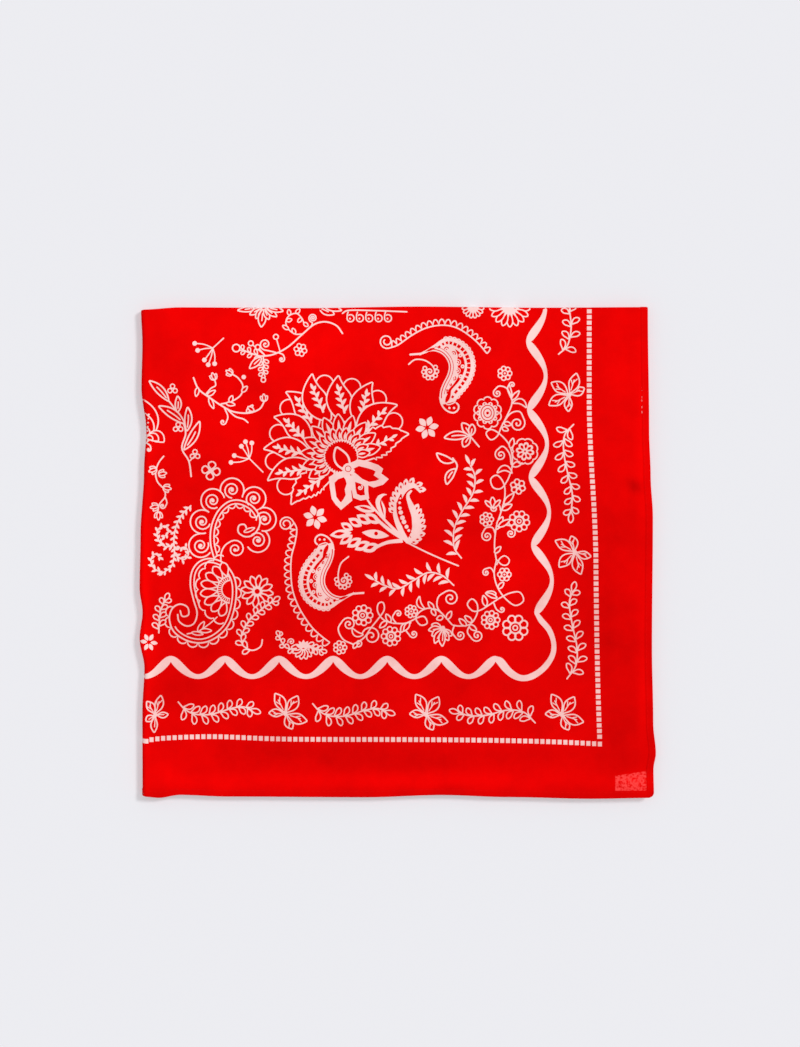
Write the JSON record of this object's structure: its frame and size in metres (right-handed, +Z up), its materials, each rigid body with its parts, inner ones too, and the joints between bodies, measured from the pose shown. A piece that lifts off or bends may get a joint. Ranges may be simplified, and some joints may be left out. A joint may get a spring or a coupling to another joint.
{
  "type": "folded bandana",
  "caption": "Cotton bandana with a floral print, folded in quarters and laid flat, with two folded sides and two hemmed sides.",
  "frame": {"origin": "middle of the underside, on the surface it lies on", "axes": "+X along the bottom hem, away from the left fold; +Y towards the top fold; +Z up through the layers"},
  "size_m": [0.2748, 0.262, 0.0062],
  "materials": {
    "printed_cotton": "plain-weave red cotton with a pale floral print, matt",
    "hem_cotton": "plain red cotton hem, turned and stitched",
    "label": "blank woven label, satin"
  },
  "bodies": {
    "root": {"front_quarter": "printed_cotton", "hidden_layers": "printed_cotton", "bottom_hem": "hem_cotton", "right_hem": "hem_cotton", "care_label": "label"}
  },
  "joints": []
}
